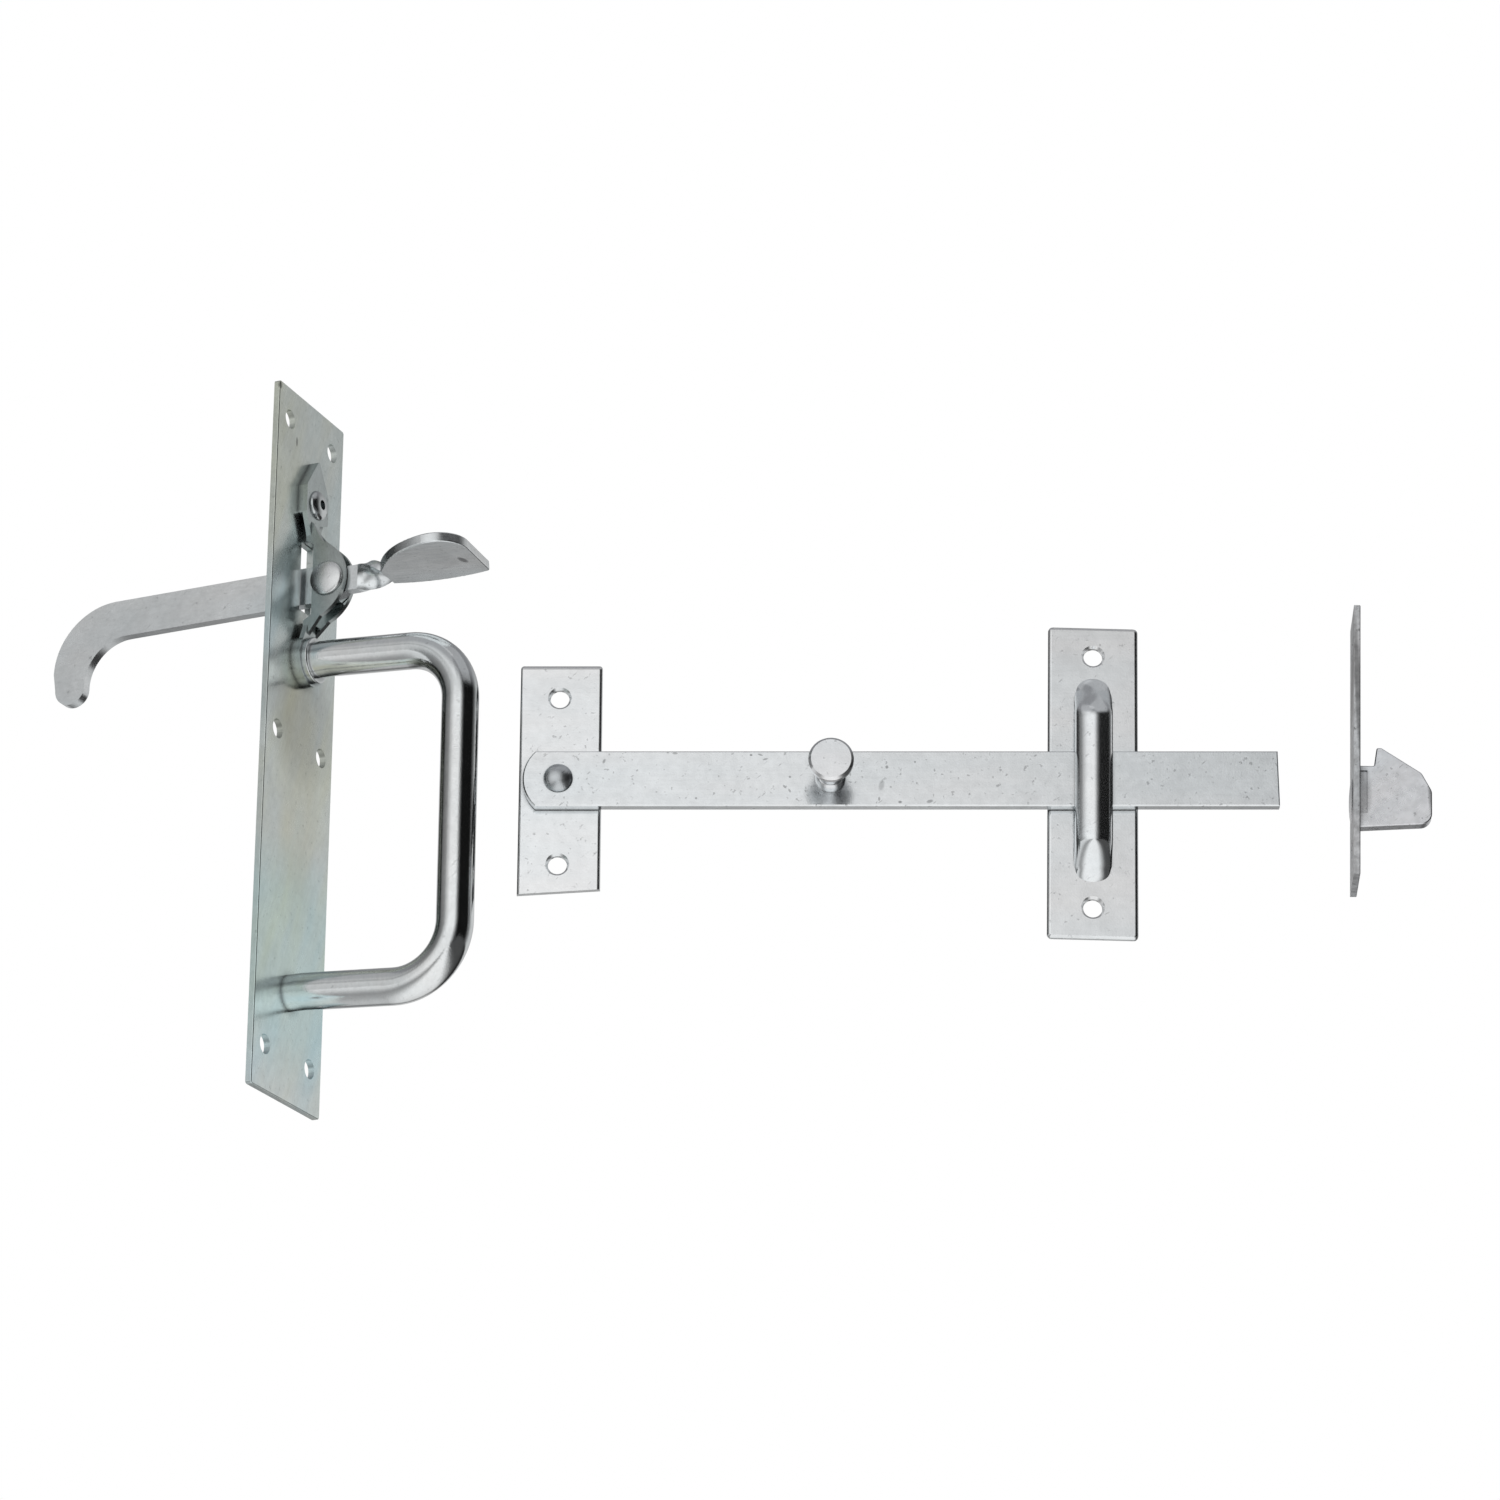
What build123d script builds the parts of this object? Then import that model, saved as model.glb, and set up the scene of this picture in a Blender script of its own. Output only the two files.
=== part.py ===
from build123d import *
import os
from math import cos, radians, sin, sqrt, tan

os.makedirs("parts", exist_ok=True)

# Suffolk latch set in bright zinc plated steel, in millimetres: the handle with its thumb lever,
# the latch bar with its pivot plate and keeper, and the catch, laid out side by side.
# X runs along the latch bar, Z is up as hung on a door, and -Y faces the room.
# The origin is on the latch bar's pivot axis, at the back of its pivot plate.

# Quarter of a turn, in degrees
QUARTER_TURN = 90

# Handle plate; w runs across it, u up it and n out of its front face, from the lever pivot's height
HANDLE_X = -71.5
LEVER_PIVOT_Z = 59.0
HANDLE_YAW = -23.0
HANDLE_PLATE_WIDTH = 38.0
HANDLE_PLATE_HEIGHT = 205.0
HANDLE_PLATE_THICKNESS = 1.8
HANDLE_PLATE_TOP_RISE = 55.7
HANDLE_PLATE_CORNER = 0.8
HANDLE_PLATE_EDGE = 0.3
HANDLE_HOLE_DIAMETER = 5.5
HANDLE_HOLE_SPREAD = 24.8
HANDLE_HOLES_FROM_TOP = 9.4
HANDLE_HOLES_FROM_BOTTOM = 12.5
LEVER_SLOT_WIDTH = 6.4
LEVER_SLOT_HEIGHT = 20.2
LEVER_SLOT_RISE = 2.3

# Pull handle, one bent round bar with a riveted tenon at each end, and the washer under its upper arm
GRIP_DIAMETER = 10.2
GRIP_REACH = 49.2
GRIP_BEND_RADIUS = 16.5
UPPER_ARM_DROP = 22.8
ARM_SPACING = 96.2
ARM_DROOP_ANGLE = 4.3
ARM_STUB_LENGTH = 4.0
ARM_STUB_RADIUS = 30.0
TENON_DIAMETER = 7.0
TENON_HEAD_DIAMETER = 10.5
TENON_HEAD_HEIGHT = 1.4
ARM_WASHER_DIAMETER = 13.0
ARM_WASHER_THICKNESS = 1.7
ARM_WASHER_EDGE = 0.4

# The two mirrored cheek pressings that carry the lever, stacked on the handle plate
CHEEK_SHEET = 1.45
CHEEK_ARC_RADIUS = 12.3
CHEEK_ARC_REACH = 1.6
CHEEK_ARC_RISE = 0.5
CHEEK_REAR_REACH = 3.8
CHEEK_TAB_REACH = 6.6
FOLD_TOP_RISE = 18.2
FOLD_BOTTOM_DROP = 15.8
LEAF_TIP_RISE = 38.2
LEAF_SHOULDER_RISE = 28.7
LEAF_HEEL_RISE = 20.4
LEAF_WIDTH = 12.4
LEAF_CORNER = 0.7
EYE_DIAMETER = 14.6

# Hollow rivet through the leaves, and the lever's pivot rivet through the cheeks
LEAF_RIVET_RISE = 24.3
LEAF_RIVET_DIAMETER = 4.6
LEAF_RIVET_BORE = 2.8
LEAF_RIVET_HEAD_DIAMETER = 8.4
LEAF_RIVET_HEAD_HEIGHT = 1.6
LEAF_RIVET_TAIL_DIAMETER = 6.6
LEAF_RIVET_TAIL_HEIGHT = 0.8
PIVOT_REACH = 8.4
PIVOT_RIVET_DIAMETER = 4.8
PIVOT_HEAD_DIAMETER = 9.8
PIVOT_HEAD_HEIGHT = 1.7
PIVOT_HEAD_RIM = 0.6

# Thumb lever, one strip: hooked tail, pivot eye, twisted neck and thumb plate
LEVER_THICKNESS = 3.0
TAIL_DROP = 0.5
TAIL_HEIGHT = 11.0
TAIL_BEND_DEPTH = 60.0
TAIL_BEND_RADIUS = 13.9
TAIL_INNER_RADIUS = 13.0
TAIL_TIP_DROP = 5.2
TAIL_TIP_HEIGHT = 9.4
TAIL_FRONT_REACH = 10.8
NECK_REACH = 13.6
NECK_DROP = 0.2
NECK_HEIGHT = 7.3
TWIST_START_REACH = 17.0
TWIST_LENGTH = 8.0
TWIST_LAP = 0.4
TWIST_SECTIONS = 5
TWIST_END_WIDTH = 7.6
TWIST_END_THICKNESS = 2.7
THUMB_RISE = 0.45
THUMB_PITCH_ANGLE = 5.2
THUMB_THICKNESS = 2.9
THUMB_LENGTH = 27.0
THUMB_NEAR_WIDTH = 13.1
THUMB_NEAR_ROOT = 3.2
THUMB_NEAR_RADIUS = 9.5
THUMB_FAR_WIDTH = 12.5
THUMB_FAR_ROOT = 5.6
THUMB_FAR_SETBACK = 0.9
THUMB_FAR_RADIUS = 0.8
THUMB_EDGE = 0.4

# Latch bar and its pivot plate
BAR_WIDTH = 16.0
BAR_THICKNESS = 3.0
BAR_LENGTH = 196.8
BAR_HEEL = 9.7
BAR_HEEL_CORNER = 6.3
BAR_EDGE = 0.35
BAR_GAP = 0.4
PIVOT_PLATE_WIDTH = 22.6
PIVOT_PLATE_HEIGHT = 66.5
PIVOT_PLATE_SKEW = 1.4
PIVOT_PLATE_THICKNESS = 1.8
PIVOT_PLATE_ROLLOVER = 1.5
PIVOT_PLATE_EDGE = 0.9
PIVOT_PLATE_RISE = 1.65
PIVOT_PLATE_SHIFT = 0.4
PIVOT_HOLES_RISE = 0.6
PIVOT_HOLE_SPACING = 48.6
BAR_RIVET_DIAMETER = 5.0
BAR_RIVET_HEAD_DIAMETER = 8.0
BAR_RIVET_HEAD_HEIGHT = 2.4
BAR_RIVET_TAIL_DIAMETER = 7.6
BAR_RIVET_TAIL_DEPTH = 1.0

# Screw holes of the pivot plate, keeper and catch plate, punched with a rounded mouth
SCREW_HOLE_DIAMETER = 5.2
SCREW_MOUTH_DIAMETER = 6.5

# Turned knob on the latch bar
KNOB_FROM_PIVOT = 74.3
KNOB_HEIGHT = 15.4
KNOB_HEAD_DIAMETER = 12.3
KNOB_HEAD_THICKNESS = 2.8
KNOB_NECK_DIAMETER = 6.0
KNOB_COLLAR_DIAMETER = 8.4
KNOB_COLLAR_HEIGHT = 3.0
KNOB_FLARE = 2.6
KNOB_EDGE = 0.7
KNOB_TENON_DIAMETER = 5.0
KNOB_TAIL_DIAMETER = 7.5
KNOB_TAIL_HEIGHT = 0.8

# Keeper, one pressing with a round backed bridge drawn out of its plate
KEEPER_FROM_BAR_END = 50.5
KEEPER_RISE = 0.6
KEEPER_TILT = 1.6
KEEPER_WIDTH = 24.8
KEEPER_HEIGHT = 91.0
KEEPER_THICKNESS = 1.8
KEEPER_CORNER = 1.3
KEEPER_EDGE = 1.0
KEEPER_HOLE_SPACING = 73.5
BRIDGE_WIDTH = 10.2
BRIDGE_CREST_LENGTH = 37.2
BRIDGE_RAMP_ANGLE = 37.0
BRIDGE_BEND = 4.0
BRIDGE_EDGE_THICKNESS = 0.4
BRIDGE_SHOULDER_WIDTH = 4.4
BRIDGE_SHOULDER_HEIGHT = 2.65
BRIDGE_CROWN_HEIGHT = 3.0
BRIDGE_CLEARANCE = 0.6
BRIDGE_SINK = 3.0
WINDOW_WIDTH = 9.0
WINDOW_LIP = 0.4

# Catch, a plate with a hook riveted through it; n runs out of its front face
CATCH_FROM_BAR_END = 22.4
CATCH_YAW = -4.0
CATCH_TILT = 2.8
CATCH_PLATE_WIDTH = 19.0
CATCH_PLATE_RISE = 49.5
CATCH_PLATE_DROP = 29.2
CATCH_PLATE_THICKNESS = 1.8
CATCH_PLATE_EDGE = 0.3
CATCH_HOLE_SPACING = 58.0
HOOK_THICKNESS = 4.0
HOOK_EDGE = 0.3
HOOK_DEPTH = 19.8
HOOK_BACK_DROP = 12.9
HOOK_NOSE_DROP = 11.5
HOOK_NOSE_TOP_DROP = 2.0
HOOK_SHOULDER_REACH = 17.0
HOOK_SHOULDER_RISE = 3.2
HOOK_PEAK_REACH = 4.8
HOOK_PEAK_RISE = 10.3
HOOK_PEAK_FLAT = 1.3
HOOK_NOTCH_REACH = 4.1
HOOK_NOTCH_RISE = 5.0
HOOK_NOTCH_RADIUS = 0.5
HOOK_PEAK_RADIUS = 0.6
HOOK_SHOULDER_RADIUS = 2.0
HOOK_NOSE_RADIUS = 3.2
HOOK_NECK_DEPTH = 2.3
HOOK_NECK_CUT = 0.6
HOOK_NECK_RISE = 3.6
HOOK_NECK_DROP = 8.8
HOOK_TENON_DROP = 4.9
HOOK_TENON_HEIGHT = 9.0
HOOK_RIVET_DIAMETER = 12.4
HOOK_RIVET_HEIGHT = 0.8

# Fits: running clearance on the pivots, side play of the lever and slack round riveted tenons
RUNNING_CLEARANCE = 0.06
LEVER_SIDE_PLAY = 0.3
RIVET_SLACK = 0.05
HEAD_PLAY = 0.2

# Places worked out from the sizes above
stack = 2 * CHEEK_SHEET
upper_shoulder = stack + ARM_WASHER_THICKNESS
upper_arm = -UPPER_ARM_DROP
lower_arm = upper_arm - ARM_SPACING
plate_bottom_drop = HANDLE_PLATE_HEIGHT - HANDLE_PLATE_TOP_RISE
plate_middle = HANDLE_PLATE_TOP_RISE - HANDLE_PLATE_HEIGHT / 2
cheek_inner = LEVER_THICKNESS / 2 + LEVER_SIDE_PLAY
cheek_outer = cheek_inner + CHEEK_SHEET
bar_back = max(PIVOT_PLATE_THICKNESS, KEEPER_THICKNESS) + BAR_GAP
bar_front = bar_back + BAR_THICKNESS
bridge_inside = bar_front + BRIDGE_CLEARANCE

handle_yaw = radians(HANDLE_YAW)
handle_out = Vector(cos(handle_yaw), sin(handle_yaw), 0)
handle_across = Vector(-sin(handle_yaw), cos(handle_yaw), 0)
up = Vector(0, 0, 1)
handle_origin = Vector(HANDLE_X, 0, LEVER_PIVOT_Z)
handle_front = Plane(handle_origin, x_dir=handle_across, z_dir=handle_out)
handle_side = Plane(handle_origin, x_dir=handle_out, z_dir=-handle_across)

catch_yaw = radians(CATCH_YAW)
catch_tilt = radians(CATCH_TILT)
catch_out = Vector(
    cos(catch_tilt) * cos(catch_yaw), cos(catch_tilt) * sin(catch_yaw), -sin(catch_tilt)
)
catch_across = Vector(-sin(catch_yaw), cos(catch_yaw), 0)
catch_origin = Vector(BAR_LENGTH + CATCH_FROM_BAR_END, 0, 0)
catch_front = Plane(catch_origin, x_dir=catch_across, z_dir=catch_out)
catch_side = Plane(catch_origin, x_dir=catch_out, z_dir=-catch_across)

keeper_tilt = radians(KEEPER_TILT)
keeper_front = Plane(
    Vector(BAR_LENGTH - KEEPER_FROM_BAR_END, 0, KEEPER_RISE),
    x_dir=(cos(keeper_tilt), 0, -sin(keeper_tilt)),
    z_dir=(0, -1, 0),
)


def turned_along(point, direction, radial):
    """Plane for a half profile: local x runs along the axis and local y is the radius."""
    return Plane(point, x_dir=direction, z_dir=direction.cross(radial))


def handle_point(w, u, n):
    """Point of the handle group from its own across, up and out distances."""
    return handle_origin + handle_across * w + up * u + handle_out * n


# Handle plate with six screw holes, the lever's slot and the holes of its three rivets
with BuildPart() as handle_plate:
    with BuildSketch(handle_front):
        with Locations((0, plate_middle)):
            RectangleRounded(HANDLE_PLATE_WIDTH, HANDLE_PLATE_HEIGHT, HANDLE_PLATE_CORNER)
        for hole_u in (
            HANDLE_PLATE_TOP_RISE - HANDLE_HOLES_FROM_TOP,
            plate_middle,
            HANDLE_HOLES_FROM_BOTTOM - plate_bottom_drop,
        ):
            with Locations((-HANDLE_HOLE_SPREAD / 2, hole_u), (HANDLE_HOLE_SPREAD / 2, hole_u)):
                Circle(HANDLE_HOLE_DIAMETER / 2, mode=Mode.SUBTRACT)
        with Locations((0, LEVER_SLOT_RISE)):
            Rectangle(LEVER_SLOT_WIDTH, LEVER_SLOT_HEIGHT, mode=Mode.SUBTRACT)
        with Locations((0, upper_arm), (0, lower_arm)):
            Circle(TENON_DIAMETER / 2 + RIVET_SLACK, mode=Mode.SUBTRACT)
        with Locations((0, LEAF_RIVET_RISE)):
            Circle(LEAF_RIVET_DIAMETER / 2 + RIVET_SLACK, mode=Mode.SUBTRACT)
    extrude(amount=-HANDLE_PLATE_THICKNESS)
    plate_face = handle_plate.faces().sort_by(Axis(handle_origin, handle_out))[-1]
    fillet(plate_face.outer_wire().edges(), HANDLE_PLATE_EDGE)
handle_plate.part.label = "handle_plate"
export_step(handle_plate.part, "parts/handle_plate.step")

# Pull handle: the arms leave the plate squarely, droop a little and bend into the upright grip
arm_slope = tan(radians(ARM_DROOP_ANGLE))
upper_stub_end = upper_shoulder + ARM_STUB_LENGTH
with BuildPart() as pull_handle:
    with BuildLine(handle_side) as grip_path:
        FilletPolyline(
            (upper_shoulder, upper_arm),
            (upper_stub_end, upper_arm),
            (GRIP_REACH, upper_arm - arm_slope * (GRIP_REACH - upper_stub_end)),
            (GRIP_REACH, lower_arm - arm_slope * (GRIP_REACH - ARM_STUB_LENGTH)),
            (ARM_STUB_LENGTH, lower_arm),
            (0, lower_arm),
            radius=[ARM_STUB_RADIUS, GRIP_BEND_RADIUS, GRIP_BEND_RADIUS, ARM_STUB_RADIUS],
        )
    with BuildSketch(handle_front.offset(upper_shoulder)):
        with Locations((0, upper_arm)):
            Circle(GRIP_DIAMETER / 2)
    sweep(path=grip_path.line)
    for arm_u, shoulder_n in ((upper_arm, upper_shoulder), (lower_arm, 0)):
        with BuildSketch(handle_front.offset(-HANDLE_PLATE_THICKNESS)):
            with Locations((0, arm_u)):
                Circle(TENON_DIAMETER / 2)
        extrude(amount=HANDLE_PLATE_THICKNESS + shoulder_n)
        head_axis = turned_along(
            handle_point(0, arm_u, -HANDLE_PLATE_THICKNESS), -handle_out, up
        )
        with BuildSketch(head_axis):
            with BuildLine():
                Polyline((TENON_HEAD_HEIGHT, 0), (0, 0), (0, TENON_HEAD_DIAMETER / 2))
                EllipticalCenterArc(
                    (0, 0),
                    TENON_HEAD_HEIGHT,
                    TENON_HEAD_DIAMETER / 2,
                    start_angle=0,
                    arc_size=QUARTER_TURN,
                )
            make_face()
        revolve(axis=Axis(head_axis.origin, head_axis.x_dir))
pull_handle.part.label = "pull_handle"
export_step(pull_handle.part, "parts/pull_handle.step")

# Washer between the cheeks' eyes and the shoulder of the upper arm
with BuildPart() as arm_washer:
    with BuildSketch(handle_front.offset(stack)):
        with Locations((0, upper_arm)):
            Circle(ARM_WASHER_DIAMETER / 2)
            Circle(TENON_DIAMETER / 2 + RIVET_SLACK, mode=Mode.SUBTRACT)
    extrude(amount=ARM_WASHER_THICKNESS)
    washer_face = arm_washer.faces().sort_by(Axis(handle_origin, handle_out))[-1]
    fillet(washer_face.outer_wire().edges(), ARM_WASHER_EDGE)
arm_washer.part.label = "arm_washer"
export_step(arm_washer.part, "parts/arm_washer.step")


def cheek_pressing(side, level):
    """Leaf, folded cheek and eye in one sheet; side is -1 near and 1 far, level is its height."""
    far_limit = cheek_inner - LEVER_SIDE_PLAY
    arc_reach = sqrt(CHEEK_ARC_RADIUS**2 - (CHEEK_TAB_REACH - CHEEK_ARC_REACH) ** 2)
    rear_reach = sqrt(CHEEK_ARC_RADIUS**2 - (CHEEK_REAR_REACH - CHEEK_ARC_REACH) ** 2)
    leaf_base = CHEEK_ARC_RISE + rear_reach
    eye_top = CHEEK_ARC_RISE - rear_reach
    near = side * cheek_outer
    far = -side * far_limit
    half_leaf = side * LEAF_WIDTH / 2
    with BuildPart() as pressing:
        with BuildSketch(handle_front.offset(level)):
            with BuildLine():
                FilletPolyline(
                    (0, LEAF_TIP_RISE),
                    (half_leaf, LEAF_SHOULDER_RISE),
                    (half_leaf, LEAF_HEEL_RISE),
                    (near, leaf_base + CHEEK_SHEET),
                    (near, leaf_base),
                    (far, leaf_base),
                    (far, FOLD_TOP_RISE + LEVER_SIDE_PLAY),
                    (-half_leaf, LEAF_HEEL_RISE),
                    (-half_leaf, LEAF_SHOULDER_RISE),
                    radius=LEAF_CORNER,
                    close=True,
                )
            make_face()
            with Locations((0, upper_arm)):
                Circle(EYE_DIAMETER / 2)
            with BuildLine():
                Polyline(
                    (near, eye_top),
                    (far, eye_top),
                    (far, upper_arm),
                    (side * EYE_DIAMETER / 2, upper_arm),
                    (near, eye_top - CHEEK_SHEET),
                    close=True,
                )
            make_face()
            fold_clear = eye_top + FOLD_BOTTOM_DROP + LEVER_SIDE_PLAY
            with Locations((far + (far - near) / 2, eye_top - fold_clear / 2)):
                Rectangle(abs(far - near), fold_clear, mode=Mode.SUBTRACT)
            with Locations((0, upper_arm)):
                Circle(TENON_DIAMETER / 2 + RIVET_SLACK, mode=Mode.SUBTRACT)
            with Locations((0, LEAF_RIVET_RISE)):
                Circle(LEAF_RIVET_DIAMETER / 2 + RIVET_SLACK, mode=Mode.SUBTRACT)
        extrude(amount=CHEEK_SHEET)
        cheek_start = cheek_inner if side < 0 else -cheek_outer
        with BuildSketch(handle_side.offset(cheek_start)):
            with BuildLine():
                Polyline(
                    (level, eye_top),
                    (level, -FOLD_BOTTOM_DROP),
                    (level + CHEEK_SHEET, -FOLD_BOTTOM_DROP),
                    (CHEEK_TAB_REACH, CHEEK_ARC_RISE - arc_reach),
                )
                ThreePointArc(
                    (CHEEK_TAB_REACH, CHEEK_ARC_RISE - arc_reach),
                    (CHEEK_ARC_REACH + CHEEK_ARC_RADIUS, CHEEK_ARC_RISE),
                    (CHEEK_TAB_REACH, CHEEK_ARC_RISE + arc_reach),
                )
                Polyline(
                    (CHEEK_TAB_REACH, CHEEK_ARC_RISE + arc_reach),
                    (level + CHEEK_SHEET, FOLD_TOP_RISE),
                    (level, FOLD_TOP_RISE),
                    (level, leaf_base),
                    (CHEEK_REAR_REACH, leaf_base - CHEEK_SHEET),
                    (CHEEK_REAR_REACH, eye_top + CHEEK_SHEET),
                    (level, eye_top),
                )
            make_face()
            with Locations((PIVOT_REACH, 0)):
                Circle(PIVOT_RIVET_DIAMETER / 2 + RIVET_SLACK, mode=Mode.SUBTRACT)
        extrude(amount=CHEEK_SHEET)
    return pressing.part


near_cheek = cheek_pressing(side=-1, level=CHEEK_SHEET)
near_cheek.label = "near_cheek_plate"
export_step(near_cheek, "parts/near_cheek_plate.step")
far_cheek = cheek_pressing(side=1, level=0)
far_cheek.label = "far_cheek_plate"
export_step(far_cheek, "parts/far_cheek_plate.step")

# Hollow rivet that holds both leaves to the handle plate, rolled over at the back
leaf_rivet_axis = turned_along(handle_point(0, LEAF_RIVET_RISE, 0), handle_out, up)
with BuildPart() as leaf_rivet:
    with BuildSketch(leaf_rivet_axis):
        with BuildLine():
            Polyline(
                (stack + LEAF_RIVET_HEAD_HEIGHT, LEAF_RIVET_BORE / 2),
                (-HANDLE_PLATE_THICKNESS - LEAF_RIVET_TAIL_HEIGHT, LEAF_RIVET_BORE / 2),
                (-HANDLE_PLATE_THICKNESS - LEAF_RIVET_TAIL_HEIGHT, LEAF_RIVET_TAIL_DIAMETER / 2),
                (-HANDLE_PLATE_THICKNESS, LEAF_RIVET_TAIL_DIAMETER / 2),
                (-HANDLE_PLATE_THICKNESS, LEAF_RIVET_DIAMETER / 2),
                (stack, LEAF_RIVET_DIAMETER / 2),
                (stack, LEAF_RIVET_HEAD_DIAMETER / 2),
            )
            EllipticalCenterArc(
                (stack, LEAF_RIVET_BORE / 2),
                LEAF_RIVET_HEAD_HEIGHT,
                (LEAF_RIVET_HEAD_DIAMETER - LEAF_RIVET_BORE) / 2,
                start_angle=0,
                arc_size=QUARTER_TURN,
            )
        make_face()
    revolve(axis=Axis(leaf_rivet_axis.origin, leaf_rivet_axis.x_dir))
leaf_rivet.part.label = "leaf_rivet"
export_step(leaf_rivet.part, "parts/leaf_rivet.step")

# Pivot rivet of the thumb lever, with a broad low head outside each cheek
pivot_axis = turned_along(handle_point(0, 0, PIVOT_REACH), -handle_across, up)
with BuildPart() as lever_pivot_rivet:
    with BuildSketch(pivot_axis):
        with BuildLine():
            Polyline(
                (0, 0),
                (0, PIVOT_RIVET_DIAMETER / 2),
                (cheek_outer, PIVOT_RIVET_DIAMETER / 2),
                (cheek_outer, PIVOT_HEAD_DIAMETER / 2),
                (cheek_outer + PIVOT_HEAD_RIM, PIVOT_HEAD_DIAMETER / 2),
            )
            EllipticalCenterArc(
                (cheek_outer + PIVOT_HEAD_RIM, 0),
                PIVOT_HEAD_HEIGHT - PIVOT_HEAD_RIM,
                PIVOT_HEAD_DIAMETER / 2,
                start_angle=0,
                arc_size=QUARTER_TURN,
            )
            Line((cheek_outer + PIVOT_HEAD_HEIGHT, 0), (0, 0))
        make_face()
    revolve(axis=Axis(pivot_axis.origin, pivot_axis.x_dir))
    mirror(about=handle_side)
lever_pivot_rivet.part.label = "lever_pivot_rivet"
export_step(lever_pivot_rivet.part, "parts/lever_pivot_rivet.step")

# Thumb lever: thumb plate pitched up a little, quarter twist, then the flat neck and hooked tail
tail_top = TAIL_HEIGHT / 2 - TAIL_DROP
tail_bottom = -TAIL_HEIGHT / 2 - TAIL_DROP
tail_bend = (-TAIL_BEND_DEPTH, -TAIL_DROP - TAIL_BEND_RADIUS)
bend_outer = TAIL_BEND_RADIUS + TAIL_HEIGHT / 2
tip = (-TAIL_BEND_DEPTH - TAIL_BEND_RADIUS, tail_bend[1] - TAIL_TIP_DROP)
tip_inside = tip[0] + TAIL_TIP_HEIGHT / 2
tail_inner = (tip_inside + TAIL_INNER_RADIUS, tail_bottom - TAIL_INNER_RADIUS)
neck_top = NECK_HEIGHT / 2 - NECK_DROP
neck_bottom = -NECK_HEIGHT / 2 - NECK_DROP
thumb_pitch = radians(THUMB_PITCH_ANGLE)
thumb_middle = Plane(
    handle_point(0, THUMB_RISE, TWIST_START_REACH + TWIST_LENGTH),
    x_dir=handle_out * cos(thumb_pitch) + up * sin(thumb_pitch),
    z_dir=up * cos(thumb_pitch) - handle_out * sin(thumb_pitch),
)
near_widest = THUMB_LENGTH - THUMB_NEAR_RADIUS
near_centre = (near_widest, THUMB_NEAR_RADIUS - THUMB_NEAR_WIDTH)
far_corner = (THUMB_LENGTH - THUMB_FAR_SETBACK, THUMB_FAR_WIDTH)
thumb_normal = Axis(thumb_middle.origin, thumb_middle.z_dir)
with BuildPart() as thumb_lever:
    with BuildSketch(thumb_middle):
        with BuildLine():
            Line((0, THUMB_FAR_ROOT), (0, -THUMB_NEAR_ROOT))
            TangentArc((near_widest, -THUMB_NEAR_WIDTH), (0, -THUMB_NEAR_ROOT), tangent=(-1, 0))
            CenterArc(near_centre, THUMB_NEAR_RADIUS, -QUARTER_TURN, QUARTER_TURN)
            Line((THUMB_LENGTH, near_centre[1]), far_corner)
            TangentArc(far_corner, (0, THUMB_FAR_ROOT), tangent=(-1, 0))
        make_face()
    extrude(amount=THUMB_THICKNESS / 2, both=True)
    upright_edges = thumb_lever.edges().filter_by(thumb_normal)
    fillet(upright_edges.sort_by(Axis(thumb_middle.origin, thumb_middle.y_dir))[-1], THUMB_FAR_RADIUS)
    thumb_faces = thumb_lever.faces().sort_by(thumb_normal)
    for thumb_face in (thumb_faces[0], thumb_faces[-1]):
        rim_edges = thumb_face.edges().sort_by(Axis(thumb_middle.origin, thumb_middle.x_dir))[1:]
        fillet(rim_edges, THUMB_EDGE)
    for section in range(TWIST_SECTIONS):
        share = section / (TWIST_SECTIONS - 1)
        angle = radians(QUARTER_TURN * share)
        section_plane = Plane(
            handle_point(
                0,
                share * (THUMB_RISE + NECK_DROP) - NECK_DROP,
                TWIST_START_REACH + share * (TWIST_LENGTH + TWIST_LAP),
            ),
            x_dir=handle_across * cos(angle) + up * sin(angle),
            z_dir=handle_out,
        )
        with BuildSketch(section_plane):
            Rectangle(
                LEVER_THICKNESS + share * (TWIST_END_THICKNESS - LEVER_THICKNESS),
                NECK_HEIGHT + share * (TWIST_END_WIDTH - NECK_HEIGHT),
            )
    loft()
    with BuildSketch(handle_side.offset(-LEVER_THICKNESS / 2)):
        with BuildLine():
            Line((TAIL_FRONT_REACH, tail_top), (-TAIL_BEND_DEPTH, tail_top))
            CenterArc(tail_bend, bend_outer, start_angle=QUARTER_TURN, arc_size=QUARTER_TURN)
            Line((tail_bend[0] - bend_outer, tail_bend[1]), (tip[0] - TAIL_TIP_HEIGHT / 2, tip[1]))
            CenterArc(tip, TAIL_TIP_HEIGHT / 2, 2 * QUARTER_TURN, 2 * QUARTER_TURN)
            Line((tip_inside, tip[1]), (tip_inside, tail_inner[1]))
            CenterArc(tail_inner, TAIL_INNER_RADIUS, 2 * QUARTER_TURN, -QUARTER_TURN)
            Polyline(
                (tail_inner[0], tail_bottom),
                (TAIL_FRONT_REACH, tail_bottom),
                (NECK_REACH, neck_bottom),
                (TWIST_START_REACH, neck_bottom),
                (TWIST_START_REACH, neck_top),
                (NECK_REACH, neck_top),
                (TAIL_FRONT_REACH, tail_top),
            )
        make_face()
        with Locations((PIVOT_REACH, 0)):
            Circle(PIVOT_RIVET_DIAMETER / 2 + RUNNING_CLEARANCE, mode=Mode.SUBTRACT)
    extrude(amount=LEVER_THICKNESS)
thumb_lever.part.label = "thumb_lever"
export_step(thumb_lever.part, "parts/thumb_lever.step")

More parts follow.
